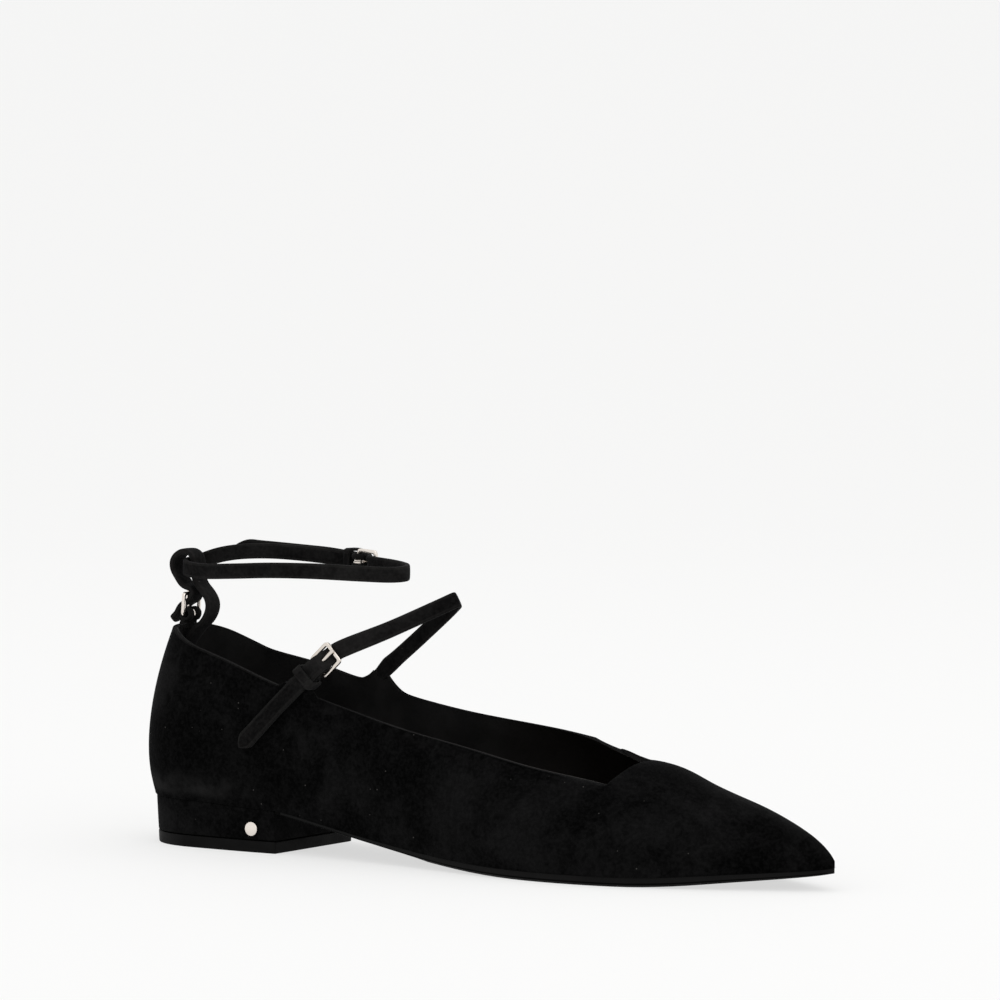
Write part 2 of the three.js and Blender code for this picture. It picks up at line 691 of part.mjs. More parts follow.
// A buckle in its own frame: x along the strap from the fixed bar, y across, z outwards.
// The strap passes below the far bar, over the fixed bar and on over the tab that holds it.
class Buckle {
  constructor(size, frame, width, tabThickness) {
    this.size = size;
    this.frame = frame;
    this.width = width;
    this.reach = size.length + size.bar;
    this.hole = size.bar * 0.71 + fit;
    this.lug = this.hole + instepTab.layer;
    this.farBar = this.reach * Math.sin(size.tilt);
    this.over = this.lug + fit + strap.thickness / 2;
    this.under = this.farBar - size.bar / 2 - fit - strap.thickness / 2;
    this.beside = tabThickness / 2 + 1.5 * fit + strap.thickness / 2;
    this.slack = 0.3;
    this.tabThickness = tabThickness;
  }

  at(along, out) {
    return offset(this.frame, along, 0, out);
  }

  // Route of the strap from the far bar over the fixed bar and through the keeper
  route() {
    return [
      this.at(this.reach + this.size.bar * 1.2, this.under - 0.15),
      this.at(this.reach, this.under - 0.05),
      this.at(this.reach * 0.8, this.under + 0.1),
      this.at(this.over * 0.76, this.over * 0.74),
      this.at(this.over * 0.36, this.over * 0.97),
      this.at(0, this.over + 0.05),
      this.at(-this.lug, this.over - 0.35),
      this.at(this.keeperAt + keeper.length / 2, this.beside + this.slack),
      this.at(this.keeperAt - keeper.length / 2, this.beside),
    ];
  }

  get keeperAt() {
    return -this.lug - keeper.length * 0.7;
  }

  ringGeometry() {
    const { width, length: open, bar, tilt } = this.size;
    const outer = roundedRectangle(new THREE.Shape(), open / 2 + bar, width / 2 + bar, bar * 1.1);
    outer.holes.push(roundedRectangle(new THREE.Path(), open / 2, width / 2, bar * 0.35));
    const bevel = bar * 0.2;
    const ring = new THREE.ExtrudeGeometry(outer, {
      depth: bar - 2 * bevel,
      bevelSize: bevel,
      bevelThickness: bevel,
      bevelOffset: -bevel,
      bevelSegments: 1,
      curveSegments: 2,
    });
    ring.translate(this.reach / 2, 0, bevel - bar / 2).rotateY(-tilt);
    return place(ring, this.frame);
  }

  // The prong turns round the fixed bar, passes through the strap and rests on the far bar
  prongGeometry(spare) {
    const width = prong.width + 2 * spare;
    const eye = new THREE.Shape().absarc(0, 0, this.hole + prong.thickness - fit + spare, 0, Math.PI * 2);
    if (spare === 0) eye.holes.push(new THREE.Path().absarc(0, 0, this.hole - fit / 2, 0, Math.PI * 2));
    const ring = new THREE.ExtrudeGeometry(eye, { depth: width, bevelEnabled: false, curveSegments: 7 });
    ring.translate(0, 0, -width / 2).rotateX(Math.PI / 2);
    const rest = this.farBar + this.size.bar / 2 + fit + prong.thickness / 2;
    const low = this.hole + prong.thickness / 2 - fit / 2;
    const route = [[0, low], [2, low + 0.45], [this.reach * 0.6, rest - 0.3], [this.reach, rest],
      [this.reach + this.size.bar * 0.7, rest - 0.1]];
    const path = route.map(([x, z]) => new THREE.Vector3(x, 0, z));
    const thickness = prong.thickness + 2 * spare;
    const arm = bandGeometry(path, [new THREE.Vector3(0, 1, 0)], width, thickness, 6);
    return place(fromSolid(solid(ring).add(solid(arm))), this.frame);
  }

  // A strap end folded round the fixed bar, with a slot for the prong
  lugSolid() {
    return solid(place(new THREE.CylinderGeometry(this.lug, this.lug, this.width, 16), this.frame));
  }

  cutLug(body) {
    const bore = new THREE.CylinderGeometry(this.hole, this.hole, this.width * 2, 12);
    const slot = new THREE.BoxGeometry(this.lug * 3, prong.width + 2 * fit, this.lug * 3);
    slot.translate(this.lug * 0.6, 0, 0);
    return body.subtract(solid(place(bore, this.frame))).subtract(solid(place(slot, this.frame)));
  }

  keeperGeometry() {
    const inner = this.width / 2 + fit + 0.15;
    const low = -this.tabThickness / 2 - fit;
    const high = this.beside + this.slack + strap.thickness / 2 + fit;
    const half = (high - low) / 2;
    const outer = roundedRectangle(new THREE.Shape(), half + keeper.wall, inner + keeper.wall, keeper.wall * 1.2);
    outer.holes.push(roundedRectangle(new THREE.Path(), half, inner, keeper.wall * 0.3));
    const ring = new THREE.ExtrudeGeometry(outer, { depth: keeper.length, bevelEnabled: false, curveSegments: 3 });
    ring.rotateY(-Math.PI / 2).translate(this.keeperAt + keeper.length / 2, 0, (high + low) / 2);
    return place(ring, this.frame);
  }
}

function roundedRectangle(path, halfX, halfY, radius) {
  path.moveTo(halfX, radius - halfY);
  path.lineTo(halfX, halfY - radius);
  path.absarc(halfX - radius, halfY - radius, radius, 0, Math.PI / 2);
  path.lineTo(radius - halfX, halfY);
  path.absarc(radius - halfX, halfY - radius, radius, Math.PI / 2, Math.PI);
  path.lineTo(-halfX, radius - halfY);
  path.absarc(radius - halfX, radius - halfY, radius, Math.PI, 1.5 * Math.PI);
  path.lineTo(halfX - radius, -halfY);
  path.absarc(halfX - radius, radius - halfY, radius, 1.5 * Math.PI, 2 * Math.PI);
  return path;
}

// Middle of the wall's top edge on a rib
function wallTop(rib) {
  const edge = [0, wall].map((inset) => new THREE.Vector3().copy(sectionPoint(rib, ribTop(rib, inset), inset)));
  return middle(edge);
}

// A point off the outer face of the upper, at a height over the floor, and the way off it
function offQuarter(x, height, side, distance) {
  const surface = (station, z) => {
    const rib = sideRib(station, side);
    const t = solve((s) => sectionPoint(rib, s, 0).z, z);
    return new THREE.Vector3().copy(sectionPoint(rib, t, 0));
  };
  const here = surface(x, height);
  const along = surface(x + 1, height).sub(surface(x - 1, height));
  const up = surface(x, height + 1).sub(surface(x, height - 1));
  const normal = along.cross(up).normalize();
  if (normal.y * here.y < 0) normal.negate();
  return { point: here.addScaledVector(normal, distance), normal };
}

// Cuts a body off level with the flat top of a strap root, with a gap
function cutAtRoot(body, side) {
  const { along, half } = rootOf(side);
  const [back, front] = [along - half, along + half].map((x) => wallTop(sideRib(x, side)));
  const frame = frameAt(back.clone().lerp(front, 0.5), front.clone().sub(back), new THREE.Vector3(0, 1, 0));
  const depth = heelWidth;
  const below = new THREE.BoxGeometry(depth, depth, depth).translate(0, 0, gap - depth / 2);
  return body.subtract(solid(place(below, frame)));
}

// Instep strap and its buckle
const fold = new THREE.Vector3(instepFold.along, 0, instepFold.height);
const foldAcross = new THREE.Vector3(-0.48, 0, 0.87);
const outerTop = wallTop(sideRib(outerRoot.along, 'outer'));
const innerTop = wallTop(sideRib(innerRoot.along, 'inner'));
const tabWay = new THREE.Vector3(instepTab.ahead, instepTab.in, instepTab.up);
const instepFrame = frameAt(outerTop.clone().add(tabWay), tabWay, foldAcross);
const instep = new Buckle(instepBuckle, instepFrame, instepWidth, 2 * instepTab.layer);

function instepTabGeometry() {
  const start = outerTop.clone().addScaledVector(instepFrame.along, -outerRoot.half);
  const wide = (t) => 1 + 0.32 * Math.min(1, 1.6 * (1 - t)) ** 6;
  const route = [start, instep.at(-instep.lug, 0), instep.at(0, 0)];
  const band = solid(bandGeometry(route, [foldAcross], instepWidth, instep.tabThickness, 9, wide));
  return fromSolid(instep.cutLug(cutAtRoot(band, 'outer').add(instep.lugSolid())));
}

function instepStrapGeometry() {
  const { turn, bow } = instepFold;
  const arm = fold.clone().sub(innerTop).normalize();
  const start = innerTop.clone().addScaledVector(arm, -innerRoot.half);
  const rise = innerTop.clone().addScaledVector(arm, 2 * innerRoot.half);
  const inFold = fold.clone().add(new THREE.Vector3(-turn, turn, -turn * 0.6));
  const outFold = fold.clone().add(new THREE.Vector3(-turn, -turn, -turn * 0.6));
  const bowed = (a, b, share) => a.clone().lerp(b, share).add(new THREE.Vector3(0, 0, bow));
  const through = instep.route().slice(1);
  const over = [start, rise, bowed(rise, inFold, 0.5), inFold, fold, outFold, bowed(outFold, through[0], 0.5)];
  const clear = fit + strap.thickness / 2 + 0.1;
  const root = new THREE.Vector2(outerRoot.along, outerTop.z);
  const end = new THREE.Vector2(instepTip.along, instepTip.height);
  const laid = [0.32, 0.66, 1].map((share) => {
    const spot = root.clone().lerp(end, share);
    return offQuarter(spot.x, spot.y, 'outer', clear);
  });
  const down = laid[2].point.clone().sub(laid[0].point).normalize();
  const route = [...over, ...through, ...laid.map(({ point }) => point)];
  const ways = [...over.map(() => foldAcross), ...through.map(() => instepFrame.across),
    ...laid.map(({ normal }) => down.clone().cross(normal))];
  const wide = (t) => read(instepShape, 'wide', t) * tip(t, 0.02);
  const band = bandGeometry(route, ways, instepWidth, strap.thickness, 62, wide);
  return fromSolid(cutAtRoot(solid(band), 'inner').subtract(solid(instep.prongGeometry(fit))));
}

// Ankle strap and its buckle on the inner side
function anklePlace({ along, out, rise }) {
  const x = ankle.back + (ankle.front - ankle.back) * along;
  return new THREE.Vector3(x, ankle.half * out, ankle.height + ankle.lift * rise);
}

const ankleAcross = new THREE.Vector3(0, 0, -1);
const ankleRoute = ankleRound.map(anklePlace);
const ankleOrigin = anklePlace(ankleBar);
const ankleWay = ankleRoute[ankleRoute.length - 1].clone().sub(ankleOrigin);
const ankleFrame = frameAt(ankleOrigin, ankleWay, ankleAcross);
const anklePass = new Buckle(ankleBuckle, ankleFrame, strap.width, strap.thickness);

function ankleStrapGeometry() {
  const first = [anklePass.at(0, 0), anklePass.at(-anklePass.lug, 0), anklePass.at(anklePass.keeperAt * 1.4, 0)];
  const route = [...first, ...ankleRoute, ...anklePass.route(), ...anklePull.map(anklePlace)];
  const wide = (t) => tip(t, 0.012);
  const band = bandGeometry(route, [ankleAcross], strap.width, strap.thickness, 70, wide);
  const joined = solid(band).add(anklePass.lugSolid());
  return fromSolid(anklePass.cutLug(joined).subtract(solid(anklePass.prongGeometry(fit))));
}

// Heel loop, and the tab and buckle that hold its free end
function heelPlace({ ahead, up }) {
  return new THREE.Vector3(heelLoop.ahead * ahead, 0, backTop + heelLoop.rise * up);
}

const heelAcross = new THREE.Vector3(0, 1, 0);
const heelTop = wallTop(heelRib(0, 'outer'));
const rearOrigin = new THREE.Vector3(heelTab.ahead, 0, backTop + heelTab.height);
const rearWay = new THREE.Vector3(Math.sin(heelTab.lean), 0, Math.cos(heelTab.lean));
const rear = new Buckle(rearBuckle, frameAt(rearOrigin, rearWay, heelAcross), heelLoop.width, strap.thickness);

function heelTabGeometry() {
  const start = heelTop.clone().add(new THREE.Vector3(0, 0, 2 * gap));
  const route = [start, start.clone().lerp(rear.at(0, 0), 0.5), rear.at(0, 0)];
  const wide = (t) => 1 + heelTab.flare * (1 - t);
  const band = bandGeometry(route, [heelAcross], heelLoop.width, strap.thickness, 6, wide);
  return fromSolid(rear.cutLug(solid(band).add(rear.lugSolid())));
}

function heelLoopGeometry() {
  const inner = (height) => {
    const rib = heelRib(0, 'outer');
    const point = sectionPoint(rib, solve((t) => sectionPoint(rib, t, wall).z, height), wall);
    return new THREE.Vector3(point.x + fit + strap.thickness / 2 + 0.3, 0, point.z);
  };
  const start = [inner(backTop * 0.84), inner(backTop * 0.9)];
  const pass = rear.route().slice(0, 6);
  const route = [...start, ...heelRound.map(heelPlace), ...pass, ...heelTail.map(heelPlace)];
  const wide = (t) => tip(t, 0.02);
  const band = bandGeometry(route, [heelAcross], heelLoop.width, strap.thickness, 56, wide);
  return fromSolid(solid(band).subtract(solid(rear.prongGeometry(fit))));
}

add('upper', wallGeometry(), 'suede');
add('insole', insoleGeometry(), 'lining');
add('outsole', outsoleGeometry(), 'sole');
add('heel_block', blockGeometry(), 'suede');
add('top_lift', liftGeometry(), 'rubber');
add('heel_stud', studGeometry(), 'metal');
add('instep_tab', instepTabGeometry(), 'suede');
add('instep_strap', instepStrapGeometry(), 'suede');
add('instep_keeper', instep.keeperGeometry(), 'suede');
add('instep_buckle', instep.ringGeometry(), 'metal');
add('instep_prong', instep.prongGeometry(0), 'metal');
add('ankle_strap', ankleStrapGeometry(), 'suede');
add('ankle_keeper', anklePass.keeperGeometry(), 'suede');
add('ankle_buckle', anklePass.ringGeometry(), 'metal');
add('ankle_prong', anklePass.prongGeometry(0), 'metal');
add('heel_tab', heelTabGeometry(), 'suede');
add('heel_loop', heelLoopGeometry(), 'suede');
add('rear_buckle', rear.ringGeometry(), 'metal');
add('rear_prong', rear.prongGeometry(0), 'metal');

// The origin is on the floor under the middle of the shoe
const bounds = new THREE.Box3().setFromObject(shoe);
const centre = bounds.getCenter(new THREE.Vector3());
shoe.children.forEach((mesh) => mesh.position.set(-centre.x, -centre.y, -bounds.min.z));

export default shoe;
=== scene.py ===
"""Finish, camera and light of a pointed flat shoe with an instep strap and an ankle strap.

Metres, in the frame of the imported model: +X to the toe, +Y to the inner side, +Z up.
"""
import logging
import math
from collections.abc import Callable, Iterable
from dataclasses import dataclass
from enum import Enum

import bmesh
import bpy
from mathutils import Matrix, Vector
from mathutils.bvhtree import BVHTree


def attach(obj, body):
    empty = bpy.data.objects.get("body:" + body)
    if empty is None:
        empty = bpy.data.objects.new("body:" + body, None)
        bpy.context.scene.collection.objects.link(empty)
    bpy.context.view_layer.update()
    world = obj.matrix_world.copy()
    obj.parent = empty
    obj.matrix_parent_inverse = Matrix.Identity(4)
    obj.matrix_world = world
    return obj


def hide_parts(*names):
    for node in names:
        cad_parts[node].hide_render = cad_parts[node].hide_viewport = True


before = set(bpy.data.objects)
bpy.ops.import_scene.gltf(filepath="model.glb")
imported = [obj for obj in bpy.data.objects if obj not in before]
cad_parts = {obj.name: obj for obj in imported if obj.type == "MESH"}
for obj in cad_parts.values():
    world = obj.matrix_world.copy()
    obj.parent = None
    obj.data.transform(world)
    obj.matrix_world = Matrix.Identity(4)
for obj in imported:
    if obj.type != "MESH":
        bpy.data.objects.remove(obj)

log = logging.getLogger("flat_shoe")

MM = 0.001
BODY = "root"


class Slot(str, Enum):
    """Material slots of the record."""

    SUEDE = "suede"
    LINING = "lining"
    SOLE = "sole"
    LIFT = "lift"
    METAL = "metal"


# Shader effects


class Graph:
    """Adds nodes to a node tree and links them, from left to right."""

    def __init__(self, tree: bpy.types.NodeTree) -> None:
        """Keep the tree.

        Args:
            tree: the node tree of a material or a node group.
        """
        self.tree = tree

    def add(self, kind: str, settings: dict | None = None, **inputs: object) -> bpy.types.Node:
        """Add a node.

        Args:
            kind: the node's type name.
            settings: attributes of the node itself.
            **inputs: socket values or sockets to link, by socket name with _ for a space.

        Returns:
            The new node.
        """
        node = self.tree.nodes.new(kind)
        node.location = (220 * len(self.tree.nodes), 0)
        for key, value in (settings or {}).items():
            setattr(node, key, value)
        for key, value in inputs.items():
            self.put(node.inputs[key.replace("_", " ")], value)
        return node

    def put(self, socket: bpy.types.NodeSocket, value: object) -> None:
        """Link a socket to another socket, or set its value."""
        if isinstance(value, bpy.types.NodeSocket):
            self.tree.links.new(value, socket)
        else:
            socket.default_value = value

    def math(self, operation: str, a: object, b: object) -> bpy.types.NodeSocket:
        """Add a Math node and return its output."""
        node = self.add("ShaderNodeMath", {"operation": operation})
        self.put(node.inputs[0], a)
        self.put(node.inputs[1], b)
        return node.outputs[0]

    def remap(self, value: object, low: object, high: object) -> bpy.types.NodeSocket:
        """Ease the range from low to high into 0 to 1 and return the output."""
        node = self.add("ShaderNodeMapRange", {"interpolation_type": "SMOOTHSTEP"}, Value=value,
                        From_Min=low, From_Max=high)
        return node.outputs["Result"]

    def spread(self, value: object, low: float, high: float) -> bpy.types.NodeSocket:
        """Turn 0 to 1 into low to high and return the output."""
        node = self.add("ShaderNodeMapRange", None, Value=value, To_Min=low, To_Max=high)
        return node.outputs["Result"]

    def blend(self, first: object, second: object, share: float) -> bpy.types.NodeSocket:
        """Add two values, the first with its share and the second with what is left."""
        return self.math("ADD", self.math("MULTIPLY", first, share),
                         self.math("MULTIPLY", second, 1.0 - share))

    def noise(self, vector: object, scale: object, detail: float = 3.0,
              distortion: float = 0.0) -> bpy.types.NodeSocket:
        """Add a Noise texture and return its value."""
        node = self.add("ShaderNodeTexNoise", None, Vector=vector, Scale=scale, Detail=detail,
                        Distortion=distortion)
        return node.outputs["Fac"]

    def mix(self, factor: object, dark: object, light: object) -> bpy.types.NodeSocket:
        """Mix two colours and return the result."""
        node = self.add("ShaderNodeMix", {"data_type": "RGBA"})
        self.put(node.inputs[0], factor)
        self.put(node.inputs[6], dark)
        self.put(node.inputs[7], light)
        return node.outputs[2]

    def bump(self, height: object, strength: float, distance: float) -> bpy.types.NodeSocket:
        """Add a Bump node and return its normal."""
        node = self.add("ShaderNodeBump", None, Height=height, Strength=strength, Distance=distance)
        return node.outputs["Normal"]


def effect(name: str, inputs: dict[str, float], outputs: Iterable[str],
           build: Callable[[Graph, bpy.types.NodeSocket, dict], dict]) -> bpy.types.NodeTree:
    """Build a shader node group that reads Object coordinates, or return the one that is there.

    Args:
        name: the group's name.
        inputs: its float inputs with their usual values.
        outputs: the names of its float outputs.
        build: makes the nodes, and returns a socket for each output.

    Returns:
        The node group.
    """
    if name in bpy.data.node_groups:
        return bpy.data.node_groups[name]
    tree = bpy.data.node_groups.new(name, "ShaderNodeTree")
    for key, value in inputs.items():
        socket = tree.interface.new_socket(name=key, in_out="INPUT", socket_type="NodeSocketFloat")
        socket.default_value = value
    for key in outputs:
        tree.interface.new_socket(name=key, in_out="OUTPUT", socket_type="NodeSocketFloat")
    graph = Graph(tree)
    entry = graph.add("NodeGroupInput")
    place = graph.add("ShaderNodeTexCoord").outputs["Object"]
    made = build(graph, place, entry.outputs)
    leave = graph.add("NodeGroupOutput")
    for key, socket in made.items():
        graph.put(leave.inputs[key], socket)
    return tree


# Brushed nap: how fine its streaks and tufts are, what share of a sum the patches and fibres have,
# where a speck of lint starts and is full, and the share of cells that hold none
STREAKS_PER_PATCH = 5.5
TUFTS_PER_FIBRE = 0.28
PATCH_SHARE = 0.7
FIBRE_SHARE = 0.45
LINT_RIM = 0.09
LINT_CORE = 0.05
BARE_SHARE = 0.83


def brushed_nap() -> bpy.types.NodeTree:
    """Suede: patches where the nap lies another way, its fibres, and specks of lint."""

    def build(graph: Graph, place: bpy.types.NodeSocket, given: dict) -> dict:
        """Large soft patches, broken up by smaller streaks."""
        patch = graph.noise(place, given["Patch Scale"], 4.0, 0.6)
        fine = graph.math("MULTIPLY", given["Patch Scale"], STREAKS_PER_PATCH)
        streak = graph.noise(place, fine, 3.0, 1.2)
        fibre = graph.noise(place, given["Fibre Scale"], 2.0)
        coarse = graph.math("MULTIPLY", given["Fibre Scale"], TUFTS_PER_FIBRE)
        tuft = graph.noise(place, coarse, 3.0, 0.4)
        cells = graph.add("ShaderNodeTexVoronoi", None, Vector=place, Scale=given["Lint Scale"]).outputs
        speck = graph.remap(cells["Distance"], LINT_RIM, LINT_CORE)
        draw = graph.add("ShaderNodeSeparateColor", None, Color=cells["Color"]).outputs["Red"]
        return {
            "Patches": graph.remap(graph.blend(patch, streak, PATCH_SHARE), 0.4, 0.68),
            "Grain": graph.remap(tuft, 0.34, 0.7),
            "Height": graph.blend(fibre, tuft, FIBRE_SHARE),
            "Lint": graph.math("MULTIPLY", speck, graph.math("GREATER_THAN", draw, BARE_SHARE)),
        }

    return effect("brushed nap", {"Patch Scale": 42.0, "Fibre Scale": 3200.0, "Lint Scale": 330.0},
                  ("Patches", "Grain", "Height", "Lint"), build)


# Where a painted highlight lightens the nap over the heel seam, in metres: each pair runs from none to all
HIGHLIGHT_ABOVE = (0.0165, 0.0195)
HIGHLIGHT_BELOW = (0.0275, 0.0205)
HIGHLIGHT_BEHIND = (-0.066, -0.1)
HIGHLIGHT_OUTER = (0.014, 0.002)


def heel_bulge_highlight() -> bpy.types.NodeTree:
    """Painted highlight: nap painted lighter where the upper bulges over the heel block."""

    def build(graph: Graph, place: bpy.types.NodeSocket, given: dict) -> dict:
        """A band on the outer side, broken by noise, that ends before the breast of the heel."""
        axes = graph.add("ShaderNodeSeparateXYZ", None, Vector=place).outputs
        mask = graph.remap(graph.noise(place, given["Break Scale"], 3.0), 0.32, 0.66)
        for axis, (none, full) in (("Z", HIGHLIGHT_ABOVE), ("Z", HIGHLIGHT_BELOW), ("X", HIGHLIGHT_BEHIND), ("Y", HIGHLIGHT_OUTER)):
            mask = graph.math("MULTIPLY", mask, graph.remap(axes[axis], none, full))
        return {"Mask": mask}

    return effect("heel bulge highlight", {"Break Scale": 130.0}, ("Mask",), build)


# How far towards the toe the painted shade grows, in metres
TOE_SHADE_LENGTH = 0.075


def toe_shade_tint() -> bpy.types.NodeTree:
    """How deep a place lies in the toe of the lining, where painted shade makes the leather darker and
    browner.
    """

    def build(graph: Graph, place: bpy.types.NodeSocket, given: dict) -> dict:
        """A soft ramp towards the toe."""
        axes = graph.add("ShaderNodeSeparateXYZ", None, Vector=place).outputs
        end = graph.math("ADD", given["Start"], TOE_SHADE_LENGTH)
        return {"Depth": graph.remap(axes["X"], given["Start"], end)}

    return effect("toe shade tint", {"Start": -0.03}, ("Depth",), build)


def leather_grain() -> bpy.types.NodeTree:
    """Smooth leather: fine pores and soft changes of tone."""

    def build(graph: Graph, place: bpy.types.NodeSocket, given: dict) -> dict:
        """Rounded cells for the pores, and a slow noise for the tone."""
        cells = graph.add("ShaderNodeTexVoronoi", {"feature": "SMOOTH_F1"}, Vector=place,
                          Scale=given["Pore Scale"])
        tone = graph.noise(place, given["Tone Scale"], 4.0, 0.4)
        return {"Height": cells.outputs["Distance"], "Tone": graph.remap(tone, 0.35, 0.7)}

    return effect("leather grain", {"Pore Scale": 1500.0, "Tone Scale": 60.0}, ("Height", "Tone"), build)


# Scale along X that draws a scratch out, and scale of a dull spot beside that of a scratch
SCRATCH_STRETCH = 0.12
SPOTS_PER_SCUFF = 0.08


def fine_scuffs() -> bpy.types.NodeTree:
    """Wear: thin scratches and dull spots."""

    def build(graph: Graph, place: bpy.types.NodeSocket, given: dict) -> dict:
        """A noise that is stretched along X for scratches, and a slow one for dull spots."""
        stretched = graph.add("ShaderNodeMapping", None, Vector=place,
                              Scale=(SCRATCH_STRETCH, 1.0, 1.0)).outputs[0]
        lines = graph.noise(stretched, given["Scuff Scale"], 5.0, 0.3)
        dull = graph.noise(place, graph.math("MULTIPLY", given["Scuff Scale"], SPOTS_PER_SCUFF), 3.0)
        return {"Scratches": graph.remap(lines, 0.56, 0.74), "Dull": graph.remap(dull, 0.4, 0.7)}

    return effect("fine scuffs", {"Scuff Scale": 1200.0}, ("Scratches", "Dull"), build)


# Finishes

Colour = tuple[float, float, float, float]


def new_material(name: str) -> tuple[bpy.types.Material, Graph, bpy.types.Node]:
    """Start a material with a Principled shader.

    Args:
        name: the material's name.

    Returns:
        The material, the graph of its nodes and its shader node.
    """
    material = bpy.data.materials.new(name)
    material.use_nodes = True
    return material, Graph(material.node_tree), material.node_tree.nodes["Principled BSDF"]


@dataclass(frozen=True)
class Suede:
    """Suede with a brushed nap."""

    name: str
    dark: Colour = (0.0003, 0.0003, 0.0003, 1.0)
    light: Colour = (0.0064, 0.0063, 0.0064, 1.0)
    lint: Colour = (0.048, 0.045, 0.043, 1.0)
    # Colour of the painted highlight on the nap where the upper bulges over the heel block
    highlighted_nap: Colour = (0.011, 0.0108, 0.0108, 1.0)
    patch_scale: float = 36.0
    patch_share: float = 0.65
    rough: tuple[float, float] = (0.98, 0.86)
    relief: float = 0.6
    depth: float = 0.0003
    specular: float = 0.025
    sheen: float = 0.008
    sheen_roughness: float = 0.45
    sheen_tint: Colour = (0.9, 0.9, 0.95, 1.0)

    def material(self) -> bpy.types.Material:
        """Build the material."""
        material, graph, shader = new_material(self.name)
        nap = graph.add("ShaderNodeGroup", {"node_tree": brushed_nap()})
        nap.inputs["Patch Scale"].default_value = self.patch_scale
        lightness = graph.blend(nap.outputs["Patches"], nap.outputs["Grain"], self.patch_share)
        brushed = graph.mix(lightness, self.dark, self.light)
        # Painted highlight: a lighter band mixed into the nap where the upper bulges over the heel block
        bulge_highlight = graph.add("ShaderNodeGroup", {"node_tree": heel_bulge_highlight()})
        highlighted_nap = graph.mix(bulge_highlight.outputs["Mask"], brushed, self.highlighted_nap)
        graph.put(shader.inputs["Base Color"], graph.mix(nap.outputs["Lint"], highlighted_nap, self.lint))
        graph.put(shader.inputs["Roughness"], graph.spread(nap.outputs["Patches"], *self.rough))
        graph.put(shader.inputs["Normal"], graph.bump(nap.outputs["Height"], self.relief, self.depth))
        shader.inputs["Specular IOR Level"].default_value = self.specular
        shader.inputs["Sheen Weight"].default_value = self.sheen
        shader.inputs["Sheen Roughness"].default_value = self.sheen_roughness
        shader.inputs["Sheen Tint"].default_value = self.sheen_tint
        return material


@dataclass(frozen=True)
class Leather:
    """Smooth leather, for the lining, the insole and the sole."""

    name: str
    dark: Colour
    light: Colour
    roughness: float
    specular: float
    dulling: float = 0.12
    relief: float = 0.25
    depth: float = 0.00015
    # Colour of the painted shade deep in the toe, darker and browner; none when all zero
    toe_shade: Colour = (0.0, 0.0, 0.0, 0.0)

    def material(self) -> bpy.types.Material:
        """Build the material."""
        material, graph, shader = new_material(self.name)
        grain = graph.add("ShaderNodeGroup", {"node_tree": leather_grain()})
        wear = graph.add("ShaderNodeGroup", {"node_tree": fine_scuffs()})
        tone = graph.mix(grain.outputs["Tone"], self.dark, self.light)
        # Painted shade: the leather is mixed towards a darker, browner colour deep in the toe
        if any(self.toe_shade):
            depth = graph.add("ShaderNodeGroup", {"node_tree": toe_shade_tint()})
            tone = graph.mix(depth.outputs["Depth"], tone, self.toe_shade)
        graph.put(shader.inputs["Base Color"], tone)
        graph.put(shader.inputs["Roughness"], graph.spread(
            wear.outputs["Dull"], self.roughness, self.roughness + self.dulling))
        graph.put(shader.inputs["Normal"], graph.bump(grain.outputs["Height"], self.relief, self.depth))
        shader.inputs["Specular IOR Level"].default_value = self.specular
        return material


@dataclass(frozen=True)
class Metal:
    """Polished plated metal with fine scratches."""

    name: str
    colour: Colour = (0.82, 0.76, 0.7, 1.0)
    worn: Colour = (0.7, 0.64, 0.58, 1.0)
    roughness: float = 0.16
    dulling: float = 0.14
    relief: float = 0.05
    depth: float = 0.00003

    def material(self) -> bpy.types.Material:
        """Build the material."""
        material, graph, shader = new_material(self.name)
        wear = graph.add("ShaderNodeGroup", {"node_tree": fine_scuffs()})
        graph.put(shader.inputs["Base Color"], graph.mix(wear.outputs["Dull"], self.colour, self.worn))
        graph.put(shader.inputs["Roughness"], graph.spread(
            wear.outputs["Scratches"], self.roughness, self.roughness + self.dulling))
        graph.put(shader.inputs["Normal"], graph.bump(wear.outputs["Scratches"], self.relief, self.depth))
        shader.inputs["Metallic"].default_value = 1.0
        return material


SUEDE = Suede("black suede")
# Painted light: the straps' suede is a lighter copy of the black suede, painted for the light their faces
# catch
LIT_STRAP_SUEDE = Suede("lit strap suede", dark=(0.0026, 0.0025, 0.0025, 1.0), light=(0.0125, 0.012, 0.0118, 1.0),
                    sheen=0.025)
CUT_EDGE = Suede("cut edge", dark=(0.007, 0.0067, 0.0065, 1.0), light=(0.015, 0.0145, 0.014, 1.0),
                 sheen=0.03)
# The lining's last colour is painted shade, darker and browner deep in the toe
LINING = Leather("lining leather", dark=(0.0048, 0.0046, 0.0045, 1.0), light=(0.012, 0.0115, 0.0112, 1.0),
                 roughness=0.5, specular=0.2, toe_shade=(0.0052, 0.0034, 0.0026, 1.0))
INSOLE = Leather("insole leather", dark=(0.0042, 0.0034, 0.003, 1.0), light=(0.0075, 0.006, 0.0054, 1.0),
                 roughness=0.45, specular=0.2)
SOLE = Leather("sole leather", dark=(0.0012, 0.0011, 0.0011, 1.0), light=(0.0026, 0.0024, 0.0023, 1.0),
               roughness=0.5, specular=0.1)
SOLE_EDGE = Leather("waxed sole edge", dark=(0.0005, 0.0005, 0.0005, 1.0),
                    light=(0.0014, 0.0013, 0.0013, 1.0), roughness=0.6, specular=0.03)
LIFT = Leather("heel lift rubber", dark=(0.0014, 0.0013, 0.0013, 1.0), light=(0.0032, 0.0031, 0.003, 1.0),
               roughness=0.6, specular=0.07)
METAL = Metal("pale plated metal")


# Modelling

